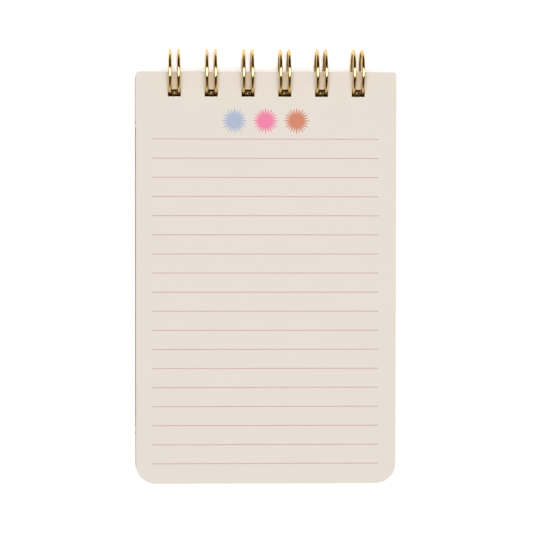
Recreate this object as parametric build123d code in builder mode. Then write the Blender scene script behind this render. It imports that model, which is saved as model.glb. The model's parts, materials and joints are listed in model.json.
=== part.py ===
"""Pocket notebook: ruled sheets and two card covers held by one twin-loop wire.

The notebook lies on its back, open at its first page, with the front cover folded round behind
the back cover. It leans on two things: the bottoms of the wire loops, and the far edge of the
folded front cover. So the whole stack slopes down a little from the wire to that edge.

World frame: X along the spine, +Y towards the wire, +Z up, origin at the bottom centre.
Book frame: the same axes turned by the slope, with the origin on the rings' common centre line.
"""

import os
from math import asin, atan, atan2, cos, degrees, hypot, pi, sin, sqrt

from build123d import *

# Sheets, in millimetres
page_width = 90.0
page_height = 142.5
bottom_corner = 6.8  # radius of the two corners away from the wire
top_corner = 1.0  # radius of the two corners beside the wire
sheet_count = 42
sheet_thickness = 0.095

# Covers: each is a greyboard with a printed outer paper and a plain inner paper
board_thickness = 0.95
print_thickness = 0.1
liner_thickness = 0.1
fold_gap = 0.8  # air between the back cover and the front cover folded behind it
cover_shift = 0.4  # how far the front cover's outline stands to the left of the sheets
cover_trim = 0.8  # how much shorter the front cover is at the wire, so that it swings past the sheets

# Wire
wire_diameter = 1.1
ring_radius = 7.73  # of the wire's centre line
loop_count = 6
loop_pitch = 12.7
strand_spacing = 3.0  # between the two strands of a double loop
bend_radius = 1.0  # where a strand turns into the bar between two loops
bar_gap = 0.5  # between the bars and the folded front cover
tip_gap = 0.2  # between the bars and the closed tips of the loops

# Slots that the strands pass through
slot_side_clearance = 0.2
slot_end_clearance = 0.16
pivot_clearance = 0.9  # extra room each way in the front cover, which swings on the strands

# Stack, from the top sheet down to the folded front cover, centred on the rings
cover_thickness = print_thickness + board_thickness + liner_thickness
block_thickness = sheet_count * sheet_thickness
stack_thickness = block_thickness + 2 * cover_thickness + fold_gap
stack_top = stack_thickness / 2
back_cover_top = stack_top - block_thickness
front_cover_top = back_cover_top - cover_thickness - fold_gap

# The slope that lets the loops and the far edge of the folded cover touch the ground together
ring_outer = ring_radius + wire_diameter / 2
slope = asin(ring_outer / hypot(page_height, stack_top)) - atan2(stack_top, page_height)
far_reach = page_height * cos(slope) + stack_top * sin(slope)
book = Plane(
    origin=(cover_shift / 2, (far_reach - ring_outer) / 2, ring_outer),
    x_dir=(1, 0, 0),
    z_dir=(0, -sin(slope), cos(slope)),
)

# Slots in the sheets and the back cover clear the rings over the whole height of the stack
slot_width = strand_spacing + wire_diameter + 2 * slot_side_clearance
ring_inner = ring_radius - wire_diameter / 2
tip_reach = hypot(ring_radius, strand_spacing / 2)
slot_near = sqrt(ring_inner**2 - stack_top**2) - slot_end_clearance
slot_far = tip_reach + wire_diameter / 2 + slot_end_clearance

# The folded front cover swings on the strands about the middle of its own slots
pivot_height = front_cover_top - cover_thickness / 2
pivot_setback = sqrt(ring_radius**2 - pivot_height**2)
pivot_slot_half = wire_diameter + pivot_clearance


def write(piece, name):
    """Labels a finished piece and writes its STEP file."""
    piece.part.label = name
    export_step(piece.part, f"parts/{name}.step")


def leaf(name, bottom, thickness, near=slot_near, far=slot_far, shift=0.0, trim=0.0):
    """One sheet, board or paper: rounded outline, a slot for each double loop, one thickness."""
    with BuildPart() as piece:
        with BuildSketch(book.offset(bottom)):
            with Locations((-shift, -trim)):
                Rectangle(page_width, page_height - trim, align=(Align.CENTER, Align.MAX))
            fillet(vertices().group_by(Axis.Y)[0], bottom_corner)
            fillet(vertices().group_by(Axis.Y)[-1], top_corner)
            with Locations((0, -(near + far) / 2)):
                with GridLocations(loop_pitch, loop_pitch, loop_count, 1):
                    Rectangle(slot_width, far - near, mode=Mode.SUBTRACT)
        extrude(amount=thickness)
    write(piece, name)
    return piece


def cover(name, top, layers, **outline):
    """A cover as its separate layers, given from the top down as (layer name, thickness)."""
    for layer, thickness in layers:
        top -= thickness
        leaf(f"{name}_{layer}", top, thickness, **outline)


def across_wire(angle):
    """The plane across the left strand where it passes this angle of its ring, from +Y to +Z."""
    place = (-strand_spacing / 2, ring_radius * cos(angle), ring_radius * sin(angle))
    return Plane(origin=place, x_dir=(1, 0, 0), z_dir=(0, -sin(angle), cos(angle)))


def outward_axis(x, angle):
    """The axis that leaves the ring's centre line square to it at this angle."""
    place = (x, ring_radius * cos(angle), ring_radius * sin(angle))
    return Axis(place, (0, cos(angle), sin(angle)))


os.makedirs("parts", exist_ok=True)

# Sheets, numbered from the top
for number in range(1, sheet_count + 1):
    leaf(f"sheet_{number:02d}", stack_top - number * sheet_thickness, sheet_thickness)

# Back cover: the inner paper faces the last sheet
cover(
    "back_cover",
    back_cover_top,
    [("liner", liner_thickness), ("board", board_thickness), ("print", print_thickness)],
)

# Front cover, folded right round: the printed face now looks up at the back cover
cover(
    "front_cover",
    front_cover_top,
    [("print", print_thickness), ("board", board_thickness), ("liner", liner_thickness)],
    near=pivot_setback - pivot_slot_half,
    far=pivot_setback + pivot_slot_half,
    shift=cover_shift,
    trim=cover_trim,
)

# Binding wire. The bars run just under the folded cover, and the closed tips end beside them.
bar_height = stack_top + bar_gap + wire_diameter / 2
bar_reach = hypot(ring_radius, bend_radius)
bar_angle = asin(bar_height / bar_reach) - pi
strand_start = bar_angle + atan(bend_radius / ring_radius)
tip_angle = bar_angle - (wire_diameter + tip_gap) / bar_reach
strand_end = tip_angle - atan(strand_spacing / 2 / ring_radius) + 2 * pi
half_bar = (loop_pitch - strand_spacing) / 2 - bend_radius

# One double loop in the rings' own frame: its left strand, half tip and half bar, then mirrored
with BuildPart() as double_loop:
    with BuildSketch(across_wire(strand_start)) as strand_foot:
        Circle(wire_diameter / 2)
    revolve(axis=Axis.X, revolution_arc=degrees(strand_end - strand_start))
    with BuildSketch(across_wire(strand_end)):
        Circle(wire_diameter / 2)
    revolve(axis=outward_axis(0, strand_end), revolution_arc=90)
    bend_axis = outward_axis(-strand_spacing / 2 - bend_radius, strand_start)
    revolve(strand_foot.sketch, axis=bend_axis, revolution_arc=90)
    bar_place = (-strand_spacing / 2 - bend_radius, bar_reach * cos(bar_angle), -bar_height)
    with BuildSketch(Plane(origin=bar_place, z_dir=(-1, 0, 0))):
        Circle(wire_diameter / 2)
    extrude(amount=half_bar)
    mirror(about=Plane.YZ)

with BuildPart(book) as binding_wire:
    with GridLocations(loop_pitch, loop_pitch, loop_count, 1):
        add(double_loop.part)
write(binding_wire, "binding_wire")
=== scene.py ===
"""Looks of the pocket notebook: paper, printed covers, greyboard and gold twin-loop wire."""

import json
import math

import bpy
from mathutils import Matrix, Vector


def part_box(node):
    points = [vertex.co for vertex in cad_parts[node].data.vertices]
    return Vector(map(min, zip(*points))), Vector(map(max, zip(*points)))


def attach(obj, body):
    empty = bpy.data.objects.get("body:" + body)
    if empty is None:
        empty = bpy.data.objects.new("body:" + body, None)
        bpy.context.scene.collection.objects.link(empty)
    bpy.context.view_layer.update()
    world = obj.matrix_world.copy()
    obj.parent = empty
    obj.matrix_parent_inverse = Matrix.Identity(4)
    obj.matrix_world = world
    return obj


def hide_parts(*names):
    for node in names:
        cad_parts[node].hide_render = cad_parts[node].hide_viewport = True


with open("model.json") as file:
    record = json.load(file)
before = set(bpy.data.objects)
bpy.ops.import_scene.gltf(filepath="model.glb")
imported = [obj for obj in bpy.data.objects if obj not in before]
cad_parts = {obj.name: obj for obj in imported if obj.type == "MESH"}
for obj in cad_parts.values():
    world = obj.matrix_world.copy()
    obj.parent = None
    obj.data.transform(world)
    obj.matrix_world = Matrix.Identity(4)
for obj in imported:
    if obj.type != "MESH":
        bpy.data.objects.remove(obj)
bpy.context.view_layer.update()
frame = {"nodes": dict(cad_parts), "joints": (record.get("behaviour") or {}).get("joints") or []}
MM = 0.001

# ---------------------------------------------------------------- sizes, read off the frame
JOINTS = {joint["name"]: joint for joint in frame["joints"]}
RING_CENTRE = Vector(JOINTS["wire_turn"]["pos_m"])
SHEETS = sorted(name for name in frame["nodes"] if name.startswith("sheet_"))


def corners(node):
    """A node's lowest and highest corners as vectors."""
    low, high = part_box(node)
    return Vector(low), Vector(high)


sheet_low, sheet_high = corners(SHEETS[0])
wire_low, wire_high = corners("binding_wire")
PAGE_WIDTH = sheet_high.x - sheet_low.x
SPINE_X = (sheet_high.x + sheet_low.x) / 2
RING_OUTER = RING_CENTRE.z
PAGE_HEIGHT = 142.5 * MM

# The stack slopes down from the wire to the far edge of the folded cover
STACK_HALF = 3.54 * MM
SLOPE = math.asin(RING_OUTER / math.hypot(PAGE_HEIGHT, STACK_HALF)) - math.atan2(STACK_HALF, PAGE_HEIGHT)

# Twin-loop wire
WIRE_RADIUS = 0.55 * MM
RING_RADIUS = RING_OUTER - WIRE_RADIUS
LOOP_COUNT = 6
LOOP_PITCH = (wire_high.x - wire_low.x) / LOOP_COUNT
STRAND_HALF = 1.5 * MM
BEND_RADIUS = 1.0 * MM
BAR_DROP = STACK_HALF + 0.5 * MM + WIRE_RADIUS
TIP_GAP = 0.2 * MM

# Print on a page, in mm from the page's top edge and middle
RULE_COUNT = 18
RULE_FIRST = 23.2
RULE_PITCH = 6.61
RULE_LEFT = -39.4
RULE_RIGHT = 39.0
RULE_WIDTH = 0.3
RULE_SOFTNESS = 0.012  # share of the pitch
SUN_ROW = 16.9
SUN_MIDDLE = -0.3
SUN_PITCH = 10.75
SUN_DISC = 2.4
SUN_REACH = 4.7
SUN_RAYS = 24
SUN_RAY_HALF = 0.48  # share of the angle between rays, at a ray's foot
SUN_RAY_STEP = 0.35  # how much shorter every other ray is

# Painted shade and painted gold reflection on the paper round the slots, in mm from the page's top edge
# and the rings
SLOT_MIDDLE = 7.3
SLOT_SHADE_HALF = 2.6  # along the page, each way from the slots' middle
SLOT_SHADE_ROW_HALF = 36.0
SLOT_SHADE_TOP = 2.2  # height over the rings' centre where the painted shade is half faded
SLOT_SHADE_FADE = 1.6
REFLECTION_HALF = 2.4  # across, each way from a loop's middle
REFLECTION_TOP = 0.2
REFLECTION_END = 7.4
REFLECTION_FADE = 1.6
REFLECTION_STRENGTH = 0.42  # share of painted gold reflection in the paper's colour

# Print on the covers, in mm from the middle of the cover's height
FIELD_HALF = 52.0
KEYLINE_PLACE = 54.0
KEYLINE_HALF = 0.35


# ---------------------------------------------------------------- node helpers
class Shader:
    """A material's node tree, with a short call for each kind of node."""

    def __init__(self, name):
        self.material = bpy.data.materials.new(name)
        self.material.use_nodes = True
        self.tree = self.material.node_tree
        self.surface = self.tree.nodes["Principled BSDF"]

    def link(self, source, target):
        if isinstance(source, (int, float, tuple)):
            target.default_value = source
        else:
            self.tree.links.new(source, target)

    def math(self, operation, first, second=None):
        node = self.tree.nodes.new("ShaderNodeMath")
        node.operation = operation
        for value, socket in zip((first, second), node.inputs):
            if value is not None:
                self.link(value, socket)
        return node.outputs[0]

    def product(self, first, *others):
        for other in others:
            first = self.math("MULTIPLY", first, other)
        return first

    def away(self, value, place):
        """How far a value is from a place, either way."""
        return self.math("ABSOLUTE", self.math("SUBTRACT", value, place))

    def reach(self, x, y):
        """Distance from the origin of x and y."""
        squares = self.math("ADD", self.math("POWER", x, 2.0), self.math("POWER", y, 2.0))
        return self.math("SQRT", squares)

    def coords(self):
        return self.tree.nodes.new("ShaderNodeTexCoord")

    def noise(self, vector, scale, detail=3.0, roughness=0.55):
        node = self.tree.nodes.new("ShaderNodeTexNoise")
        self.link(vector, node.inputs["Vector"])
        node.inputs["Scale"].default_value = scale
        node.inputs["Detail"].default_value = detail
        node.inputs["Roughness"].default_value = roughness
        return node.outputs["Fac"]

    def mapping(self, vector, location=(0, 0, 0), rotation=(0, 0, 0), scale=(1, 1, 1)):
        node = self.tree.nodes.new("ShaderNodeMapping")
        self.link(vector, node.inputs["Vector"])
        node.inputs["Location"].default_value = location
        node.inputs["Rotation"].default_value = rotation
        node.inputs["Scale"].default_value = scale
        return node.outputs[0]

    def split(self, vector):
        node = self.tree.nodes.new("ShaderNodeSeparateXYZ")
        self.link(vector, node.inputs[0])
        return node.outputs

    def mix(self, factor, first, second):
        node = self.tree.nodes.new("ShaderNodeMix")
        node.data_type = "RGBA"
        self.link(factor, node.inputs[0])
        self.link(first, node.inputs[6])
        self.link(second, node.inputs[7])
        return node.outputs[2]

    def ramp(self, factor, stops):
        node = self.tree.nodes.new("ShaderNodeValToRGB")
        self.link(factor, node.inputs[0])
        elements = node.color_ramp.elements
        while len(elements) < len(stops):
            elements.new(0.5)
        for element, (place, colour) in zip(elements, stops):
            element.position = place
            element.color = colour
        return node.outputs[0]

    def bump(self, height, strength, distance, under=None):
        node = self.tree.nodes.new("ShaderNodeBump")
        self.link(height, node.inputs["Height"])
        node.inputs["Strength"].default_value = strength
        node.inputs["Distance"].default_value = distance
        if under is not None:
            self.tree.links.new(under, node.inputs["Normal"])
        return node.outputs[0]

    def step_down(self, value, edge, soft):
        """1 where value is under edge and 0 where it is over, with a soft band between."""
        node = self.tree.nodes.new("ShaderNodeMapRange")
        self.link(value, node.inputs["Value"])
        node.inputs["From Min"].default_value = edge - soft / 2
        node.inputs["From Max"].default_value = edge + soft / 2
        node.inputs["To Min"].default_value = 1.0
        node.inputs["To Max"].default_value = 0.0
        return node.outputs[0]

    def clear_from_behind(self):
        """Lets a view from behind the surface pass through it."""
        side = self.tree.nodes.new("ShaderNodeNewGeometry").outputs["Backfacing"]
        clear = self.tree.nodes.new("ShaderNodeBsdfTransparent").outputs[0]
        both = self.tree.nodes.new("ShaderNodeMixShader")
        self.link(side, both.inputs[0])
        self.link(self.surface.outputs[0], both.inputs[1])
        self.link(clear, both.inputs[2])
        self.link(both.outputs[0], self.tree.nodes["Material Output"].inputs["Surface"])

    def finish(self, colour=None, normal=None, roughness=None):
        for value, socket in ((colour, "Base Color"), (normal, "Normal"), (roughness, "Roughness")):
            if value is not None:
                self.link(value, self.surface.inputs[socket])
        return self.material


def srgb(red, green, blue):
    """A colour given in 0-255 display values, as linear RGBA."""
    linear = [((c / 255 + 0.055) / 1.055) ** 2.4 for c in (red, green, blue)]
    return (*linear, 1.0)


def dim(colour, share):
    """A colour made darker, or lighter when share is over 1."""
    return tuple(c * share for c in colour[:3]) + (1.0,)


def under_softbox(red, green, blue):
    """The base colour that looks like these display values under the bright softbox."""
    return dim(srgb(red, green, blue), 0.87)


PAPER = under_softbox(233, 224, 213)
RULE_INK = under_softbox(208, 174, 168)
PERIWINKLE = under_softbox(178, 188, 211)
PINK = under_softbox(244, 134, 172)
TERRACOTTA = under_softbox(215, 138, 110)
ROSE_INK = under_softbox(190, 132, 128)
COVER_CREAM = under_softbox(232, 214, 200)
GREYBOARD = srgb(150, 138, 124)
# Painted shade colour, for the slot walls and for the table under the slots
PAINTED_SHADE_BROWN = srgb(96, 62, 30)
# Painted reflected gold: the tint of light reflected from the wire onto the page between its strands
REFLECTED_GOLD = srgb(204, 164, 92)
GOLD_DEEP = srgb(214, 182, 116)
GOLD_PALE = srgb(226, 196, 136)


def page_coords(shader, coords):
    """Coordinates in mm on the page: x from its middle, y from its top edge, z from the rings."""
    turn = Matrix.Rotation(-SLOPE, 3, "X")
    shift = -(turn @ (Vector((SPINE_X, RING_CENTRE.y, RING_CENTRE.z)) / MM))
    scale = (1 / MM, 1 / MM, 1 / MM)
    return shader.mapping(coords.outputs["Object"], shift, (-SLOPE, 0, 0), scale)


def paper_grain(shader, place, strength=0.25):
    """The fine tooth of uncoated paper: felt-like unevenness with shorter fibres on it."""
    felt = shader.noise(place, 0.9, 4.0, 0.6)
    fibres = shader.noise(shader.mapping(place, scale=(1.0, 2.4, 1.0)), 5.0, 3.0, 0.7)
    first = shader.bump(felt, strength, 0.00006)
    return shader.bump(fibres, strength, 0.00002, first)


def rules_mask(shader, x, y):
    """The ruled lines: one soft-edged line each pitch, inside the margins."""
    down = shader.math("SUBTRACT", shader.math("MULTIPLY", y, -1.0), RULE_FIRST)
    count = shader.math("DIVIDE", down, RULE_PITCH)
    nearest = shader.math("ROUND", count)
    line = shader.step_down(shader.away(count, nearest), RULE_WIDTH / 2 / RULE_PITCH, RULE_SOFTNESS)
    high_enough = shader.math("GREATER_THAN", nearest, -0.5)
    low_enough = shader.math("LESS_THAN", nearest, RULE_COUNT - 0.5)
    middle = (RULE_LEFT + RULE_RIGHT) / 2
    inside = shader.step_down(shader.away(x, middle), (RULE_RIGHT - RULE_LEFT) / 2, 0.1)
    return shader.product(line, high_enough, low_enough, inside)


def sun_mask(shader, x, y, centre):
    """A plain sunburst: a disc with tapered rays, every other one a little shorter."""
    across = shader.math("SUBTRACT", x, centre)
    up = shader.math("ADD", y, SUN_ROW)
    radius = shader.reach(across, up)
    angle = shader.math("ARCTAN2", up, across)
    turns = shader.math("MULTIPLY", angle, SUN_RAYS / (2 * math.pi))
    nearest = shader.math("ROUND", turns)
    odd = shader.math("ABSOLUTE", shader.math("MODULO", nearest, 2.0))
    tip = shader.math("SUBTRACT", SUN_REACH, shader.math("MULTIPLY", odd, SUN_RAY_STEP))
    past_disc = shader.math("SUBTRACT", radius, SUN_DISC)
    along = shader.math("DIVIDE", past_disc, shader.math("SUBTRACT", tip, SUN_DISC))
    half_width = shader.math("MULTIPLY", shader.math("SUBTRACT", 1.0, along), SUN_RAY_HALF)
    margin = shader.math("SUBTRACT", shader.away(turns, nearest), half_width)
    ray = shader.step_down(margin, 0.0, 0.06)
    disc = shader.step_down(radius, SUN_DISC, 0.08)
    return shader.math("MAXIMUM", ray, disc)


def painted_gold_reflection(shader, x, y):
    """Painted gold reflection and shade from the wire on the page, strongest between its two strands."""
    loop = shader.math("DIVIDE", x, LOOP_PITCH / MM)
    nearest = shader.math("ADD", shader.math("FLOOR", loop), 0.5)
    off = shader.math("MULTIPLY", shader.away(loop, nearest), LOOP_PITCH / MM)
    narrow = shader.step_down(off, REFLECTION_HALF, REFLECTION_FADE)
    under_edge = shader.step_down(y, -REFLECTION_TOP, 0.6)
    over_slots = shader.step_down(shader.math("MULTIPLY", y, -1.0), REFLECTION_END, REFLECTION_FADE)
    in_row = shader.math("LESS_THAN", shader.math("ABSOLUTE", x), LOOP_PITCH / MM * LOOP_COUNT / 2)
    return shader.product(narrow, in_row, under_edge, over_slots)


def shade_slot_walls(shader, coords, place, colour):
    """Paints shade on the punched walls of the slots below the top few sheets."""
    x, y, z = shader.split(place)
    level = shader.math("ABSOLUTE", shader.split(coords.outputs["Normal"])[2])
    upright = shader.math("LESS_THAN", level, 0.5)
    near_slots = shader.math("LESS_THAN", shader.away(y, -SLOT_MIDDLE), SLOT_SHADE_HALF)
    in_row = shader.math("LESS_THAN", shader.math("ABSOLUTE", x), SLOT_SHADE_ROW_HALF)
    deep = shader.step_down(z, SLOT_SHADE_TOP, SLOT_SHADE_FADE)
    return shader.mix(shader.product(upright, deep, near_slots, in_row), colour, PAINTED_SHADE_BROWN)


def page_material(name, tone):
    """Cream writing paper, ruled on both faces, with a row of small sunbursts on the front."""
    shader = Shader(name)
    coords = shader.coords()
    place = page_coords(shader, coords)
    x, y, _ = shader.split(place)
    cloud = shader.noise(place, 0.08, 3.0, 0.5)
    colour = shader.mix(cloud, dim(PAPER, tone * 0.985), dim(PAPER, tone * 1.01))
    colour = shader.mix(rules_mask(shader, x, y), colour, RULE_INK)
    upward = shader.math("GREATER_THAN", shader.split(coords.outputs["Normal"])[2], 0.5)
    for number, ink in ((-1, PERIWINKLE), (0, PINK), (1, TERRACOTTA)):
        mask = sun_mask(shader, x, y, SUN_MIDDLE + number * SUN_PITCH)
        colour = shader.mix(shader.math("MULTIPLY", mask, upward), colour, ink)
    # Painted gold reflection and shade between the strands of each loop
    colour = shader.mix(shader.math("MULTIPLY", painted_gold_reflection(shader, x, y), REFLECTION_STRENGTH), colour, REFLECTED_GOLD)
    # Painted shade on the slot walls
    colour = shade_slot_walls(shader, coords, place, colour)
    shader.surface.inputs["Roughness"].default_value = 0.88
    shader.surface.inputs["Specular IOR Level"].default_value = 0.25
    return shader.finish(colour, paper_grain(shader, place))


def greyboard_material():
    """Raw recycled board: grey-brown pulp with darker and lighter flecks."""
    shader = Shader("greyboard")
    coords = shader.coords()
    place = page_coords(shader, coords)
    pulp = shader.noise(place, 1.2, 5.0, 0.65)
    flecks = shader.noise(shader.mapping(place, scale=(1.0, 1.0, 2.5)), 3.5, 2.0, 0.5)
    colour = shader.mix(pulp, dim(GREYBOARD, 0.8), dim(GREYBOARD, 1.15))
    spots = shader.ramp(flecks, [(0.32, (1, 1, 1, 1)), (0.4, (0, 0, 0, 1))])
    colour = shader.mix(spots, colour, dim(GREYBOARD, 0.45))
    # Painted shade on the slot walls
    colour = shade_slot_walls(shader, coords, place, colour)
    shader.surface.inputs["Roughness"].default_value = 0.92
    shader.surface.inputs["Specular IOR Level"].default_value = 0.2
    return shader.finish(colour, paper_grain(shader, place, 0.5))


def liner_material():
    """The plain uncoated paper on the inside of a cover."""
    shader = Shader("cover_liner_paper")
    coords = shader.coords()
    place = page_coords(shader, coords)
    cloud = shader.noise(place, 0.1, 3.0, 0.5)
    colour = shader.mix(cloud, dim(COVER_CREAM, 0.97), dim(COVER_CREAM, 1.02))
    # Painted shade on the slot walls
    colour = shade_slot_walls(shader, coords, place, colour)
    shader.surface.inputs["Roughness"].default_value = 0.8
    return shader.finish(colour, paper_grain(shader, place))


def print_material():
    """Matt printed cover paper: a dusty-rose field between two cream bands, each with a thin line."""
    shader = Shader("cover_print_paper")
    coords = shader.coords()
    place = page_coords(shader, coords)
    _, y, _ = shader.split(place)
    off_middle = shader.away(y, -PAGE_HEIGHT / MM / 2)
    field = shader.step_down(off_middle, FIELD_HALF, 0.15)
    keyline = shader.step_down(shader.away(off_middle, KEYLINE_PLACE), KEYLINE_HALF, 0.1)
    inked = shader.math("MAXIMUM", field, keyline)
    cloud = shader.noise(place, 0.12, 3.0, 0.5)
    rose = shader.mix(cloud, dim(ROSE_INK, 0.96), dim(ROSE_INK, 1.04))
    # Print, with painted shade on the slot walls
    colour = shade_slot_walls(shader, coords, place, shader.mix(inked, COVER_CREAM, rose))
    shader.surface.inputs["Roughness"].default_value = 0.55
    shader.surface.inputs["Specular IOR Level"].default_value = 0.35
    return shader.finish(colour, paper_grain(shader, place, 0.12))


def gold_material():
    """Bright gold-coloured wire, smooth, with the faintest drawing marks."""
    shader = Shader("gold_wire")
    place = shader.mapping(shader.coords().outputs["Object"], scale=(1 / MM, 1 / MM, 1 / MM))
    wear = shader.noise(place, 0.35, 3.0, 0.6)
    colour = shader.mix(wear, GOLD_DEEP, GOLD_PALE)
    shader.surface.inputs["Metallic"].default_value = 1.0
    roughness = shader.math("ADD", shader.math("MULTIPLY", wear, 0.06), 0.1)
    marks = shader.bump(shader.noise(place, 6.0, 2.0), 0.05, 0.00001)
    return shader.finish(colour, marks, roughness)


# ---------------------------------------------------------------- mesh helpers
def deselect_all():
    for item in bpy.context.selected_objects:
        item.select_set(False)


def only(piece):
    """Makes one object the selected and active one."""
    deselect_all()
    piece.select_set(True)
    bpy.context.view_layer.objects.active = piece


def settle(piece):
    """Puts a piece's place into its mesh and leaves its object at the origin."""
    only(piece)
    bpy.ops.object.transform_apply(location=True, rotation=True, scale=True)


# ---------------------------------------------------------------- binding wire
def ring_point(x, angle, radius=RING_RADIUS):
    """A point of a ring, in the rings' own frame, with angle from +Y to +Z."""
    return Vector((x, radius * math.cos(angle), radius * math.sin(angle)))


def outward(angle):
    return Vector((0, math.cos(angle), math.sin(angle)))


def spin(angle, centre, axis, steps):
    """Turns the selected end of the wire about an axis by the right-hand rule, leaving tube behind."""
    bpy.ops.mesh.spin(steps=steps, angle=-angle, center=centre, axis=axis)


def double_loop():
    """One double loop in the rings' own frame, from the middle of one bar to the next."""
    bar_reach = math.hypot(RING_RADIUS, BEND_RADIUS)
    bar_angle = math.asin(BAR_DROP / bar_reach) - math.pi
    foot = bar_angle + math.atan(BEND_RADIUS / RING_RADIUS)
    tip = bar_angle - (2 * WIRE_RADIUS + TIP_GAP) / bar_reach
    head = tip - math.atan(STRAND_HALF / RING_RADIUS) + 2 * math.pi
    half_bar = LOOP_PITCH / 2 - STRAND_HALF - BEND_RADIUS
    start = Vector((-LOOP_PITCH / 2, bar_reach * math.cos(bar_angle), -BAR_DROP))
    quarter, half = math.pi / 2, math.pi
    ring_steps, tip_steps, bend_steps = 120, 20, 10
    bpy.ops.mesh.primitive_circle_add(
        vertices=24, radius=WIRE_RADIUS, location=start, rotation=(0, quarter, 0), fill_type="NOTHING"
    )
    piece = bpy.context.object
    settle(piece)
    bpy.ops.object.mode_set(mode="EDIT")
    bpy.ops.mesh.select_all(action="SELECT")
    bpy.ops.mesh.extrude_region_move(TRANSFORM_OT_translate={"value": (half_bar, 0, 0)})
    left_bend = ring_point(-STRAND_HALF - BEND_RADIUS, foot)
    right_bend = ring_point(STRAND_HALF + BEND_RADIUS, foot)
    spin(-quarter, left_bend, outward(foot), bend_steps)
    spin(head - foot, (0, 0, 0), (1, 0, 0), ring_steps)
    spin(half, ring_point(0, head), outward(head), tip_steps)
    spin(foot - head, (0, 0, 0), (1, 0, 0), ring_steps)
    spin(-quarter, right_bend, outward(foot), bend_steps)
    bpy.ops.mesh.extrude_region_move(TRANSFORM_OT_translate={"value": (half_bar, 0, 0)})
    bpy.ops.object.mode_set(mode="OBJECT")
    return piece


def binding_wire():
    """All the double loops as one wire, with its two cut ends closed."""
    first = double_loop()
    loops = [first]
    for number in range(1, LOOP_COUNT):
        copy = first.copy()
        copy.data = first.data.copy()
        bpy.context.collection.objects.link(copy)
        copy.location.x = number * LOOP_PITCH
        loops.append(copy)
    deselect_all()
    for loop in loops:
        loop.select_set(True)
    bpy.context.view_layer.objects.active = first
    bpy.ops.object.join()
    wire = bpy.context.object
    wire.name = wire.data.name = "gold_twin_loop_wire"
    wire.rotation_euler = (SLOPE, 0, 0)
    first_x = SPINE_X - (LOOP_COUNT - 1) / 2 * LOOP_PITCH
    wire.location = (first_x, RING_CENTRE.y, RING_CENTRE.z)
    settle(wire)
    bpy.ops.object.mode_set(mode="EDIT")
    bpy.ops.mesh.select_all(action="SELECT")
    bpy.ops.mesh.remove_doubles(threshold=0.00001)
    bpy.ops.mesh.select_all(action="DESELECT")
    bpy.ops.mesh.select_non_manifold()
    bpy.ops.mesh.fill_holes(sides=0)
    bpy.ops.mesh.select_all(action="SELECT")
    bpy.ops.mesh.normals_make_consistent(inside=False)
    bpy.ops.object.mode_set(mode="OBJECT")
    bpy.ops.object.shade_smooth_by_angle(angle=math.radians(40))
    wire.data.materials.clear()
    wire.data.materials.append(gold_material())
    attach(wire, "wire")
    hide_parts("binding_wire")
    return wire


# ---------------------------------------------------------------- carried-over pieces
def give(node, material):
    """A CAD node gets a finished material in each of its slots."""
    for slot in frame["nodes"][node].material_slots:
        slot.material = material


def dress_sheets():
    """Sheets differ a little in tone, so that the block's edge reads as separate leaves."""
    tones = [1.0, 0.93, 1.03, 0.97, 0.9]
    papers = [page_material(f"ruled_paper_{n + 1}", tone) for n, tone in enumerate(tones)]
    for number, node in enumerate(SHEETS):
        give(node, papers[number * 2 % len(papers)])


def dress_covers():
    finishes = {"board": greyboard_material(), "liner": liner_material(), "print": print_material()}
    for cover in ("front_cover", "back_cover"):
        for layer, material in finishes.items():
            give(f"{cover}_{layer}", material)


# ---------------------------------------------------------------- stage, light and camera
# Lengths, in metres
TABLE_WIDTH = 6.0
NEAR_RADIUS = 0.9  # of the part of the table that glows less
SHADE_SETBACK = 7 * MM  # of the shade's middle, from the rings' centre line
SHADE_HALF = 5 * MM
SHADE_SIDE_MARGIN = 3 * MM  # inside the page's side edges
SOFTBOX_WIDTH = 0.72
SOFTBOX_HEIGHT = 0.95
FACE_RISE = 0.01  # of the softbox's bright face, over its lamp
SURROUND_RADIUS = 1.4
SURROUND_TOP = 1.27
SURROUND_FOOT = 0.04
BACKDROP_RADIUS = 2.9
CAMERA_HEIGHT = 0.77
CAMERA_ASIDE = 30.0 * MM
CAMERA_BACK = 0.15 * MM
AIM_HEIGHT = 12 * MM

# Strengths and proportions
NEAR_GLOW = 0.23
FAR_GLOW = 0.65
LAMP_POWER = 6.8
FACE_GLOW = 4.0
FACE_STRETCH = 2.7
BACKDROP_GLOW = 1.0
WORLD_GLOW = 0.45


def plain(name, colour):
    shader = Shader(name)
    shader.surface.inputs["Base Color"].default_value = colour
    shader.surface.inputs["Roughness"].default_value = 0.9
    return shader.material


def glowing(name, colour, strength):
    """A surface that gives light and reflects none."""
    shader = Shader(name)
    shader.surface.inputs["Base Color"].default_value = (0, 0, 0, 1)
    shader.surface.inputs["Specular IOR Level"].default_value = 0.0
    shader.surface.inputs["Emission Color"].default_value = colour
    shader.surface.inputs["Emission Strength"].default_value = strength
    return shader.material


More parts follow.
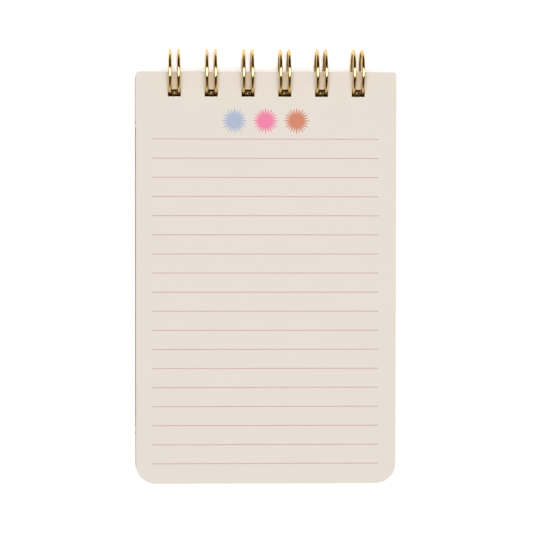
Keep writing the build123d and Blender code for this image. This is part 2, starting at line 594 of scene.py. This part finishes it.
def light_table():
    """A white table that glows a little, more beyond its near part, with brown shade under the slots."""
    shader = Shader("white_light_table")
    x, y, _ = shader.split(shader.coords().outputs["Object"])
    across = shader.step_down(shader.away(x, SPINE_X), PAGE_WIDTH / 2 - SHADE_SIDE_MARGIN, 5 * MM)
    along = shader.step_down(shader.away(y, RING_CENTRE.y - SHADE_SETBACK), SHADE_HALF, 3 * MM)
    shade = shader.math("MULTIPLY", across, along)
    near = shader.step_down(shader.reach(x, y), NEAR_RADIUS, 1.0)
    strength = shader.math("SUBTRACT", FAR_GLOW, shader.math("MULTIPLY", near, FAR_GLOW - NEAR_GLOW))
    glow = shader.math("MULTIPLY", strength, shader.math("SUBTRACT", 1.0, shade))
    shader.link(glow, shader.surface.inputs["Emission Strength"])
    shader.surface.inputs["Emission Color"].default_value = (1, 1, 1, 1)
    shader.surface.inputs["Roughness"].default_value = 0.9
    shader.clear_from_behind()
    return shader.finish(shader.mix(shade, (0.96, 0.96, 0.96, 1), PAINTED_SHADE_BROWN))


def hide(item, *rays):
    """Hides a stage piece from these kinds of ray."""
    for ray in rays:
        setattr(item, f"visible_{ray}", False)


def studio():
    """A white table under one round overhead softbox, with dark surroundings for the gloss."""
    bpy.ops.mesh.primitive_plane_add(size=TABLE_WIDTH, location=(0, 0, 0))
    table = bpy.context.object
    table.name = "white_table"
    table.data.materials.append(light_table())

    light = bpy.data.lights.new("overhead_softbox", "AREA")
    light.shape = "DISK"
    light.size = SOFTBOX_WIDTH
    light.energy = LAMP_POWER
    softbox = bpy.data.objects.new("overhead_softbox", light)
    softbox.location = (0, 0, SOFTBOX_HEIGHT)
    bpy.context.collection.objects.link(softbox)

    over_light = (0, 0, SOFTBOX_HEIGHT + FACE_RISE)
    bpy.ops.mesh.primitive_circle_add(
        vertices=64, radius=SOFTBOX_WIDTH / 2, location=over_light, fill_type="NGON"
    )
    face = bpy.context.object
    face.name = "softbox_face"
    face.scale.x = FACE_STRETCH
    settle(face)
    face.data.materials.append(glowing("softbox_face", (1, 0.98, 0.94, 1), FACE_GLOW))
    hide(face, "camera", "diffuse", "shadow", "transmission")

    bpy.ops.mesh.primitive_uv_sphere_add(
        segments=64, ring_count=32, radius=SURROUND_RADIUS, location=(0, 0, 0)
    )
    flag = bpy.context.object
    flag.name = "dark_surround"
    settle(flag)
    bpy.ops.object.mode_set(mode="EDIT")
    for height, clear_over in ((SURROUND_TOP, True), (SURROUND_FOOT, False)):
        bpy.ops.mesh.select_all(action="SELECT")
        bpy.ops.mesh.bisect(
            plane_co=(0, 0, height),
            plane_no=(0, 0, 1),
            clear_outer=clear_over,
            clear_inner=not clear_over,
        )
    bpy.ops.object.mode_set(mode="OBJECT")
    flag.data.materials.append(plain("dark_surround", (0.02, 0.017, 0.013, 1)))
    hide(flag, "camera", "diffuse", "shadow", "transmission")

    bpy.ops.mesh.primitive_uv_sphere_add(
        segments=64, ring_count=32, radius=BACKDROP_RADIUS, location=(0, 0, 0)
    )
    backdrop = bpy.context.object
    backdrop.name = "white_backdrop"
    backdrop.data.materials.append(glowing("white_backdrop", (1, 1, 1, 1), BACKDROP_GLOW))
    hide(backdrop, "glossy", "diffuse", "shadow", "transmission")

    world = bpy.data.worlds.new("studio")
    bpy.context.scene.world = world
    world.use_nodes = True
    world.node_tree.nodes["Background"].inputs["Color"].default_value = (1, 1, 1, 1)
    world.node_tree.nodes["Background"].inputs["Strength"].default_value = WORLD_GLOW
    bpy.context.scene.view_settings.view_transform = "Standard"


def camera():
    """Almost straight down, from over the first loop, aimed at the notebook's middle."""
    data = bpy.data.cameras.new("camera")
    data.lens = 148.6
    data.sensor_width = 36.0
    item = bpy.data.objects.new("camera", data)
    item.location = (SPINE_X - CAMERA_ASIDE, -CAMERA_BACK, CAMERA_HEIGHT)
    item.rotation_euler.y = -math.atan2(CAMERA_ASIDE, CAMERA_HEIGHT - AIM_HEIGHT)
    bpy.context.collection.objects.link(item)
    bpy.context.scene.camera = item


binding_wire()
dress_sheets()
dress_covers()
studio()
camera()
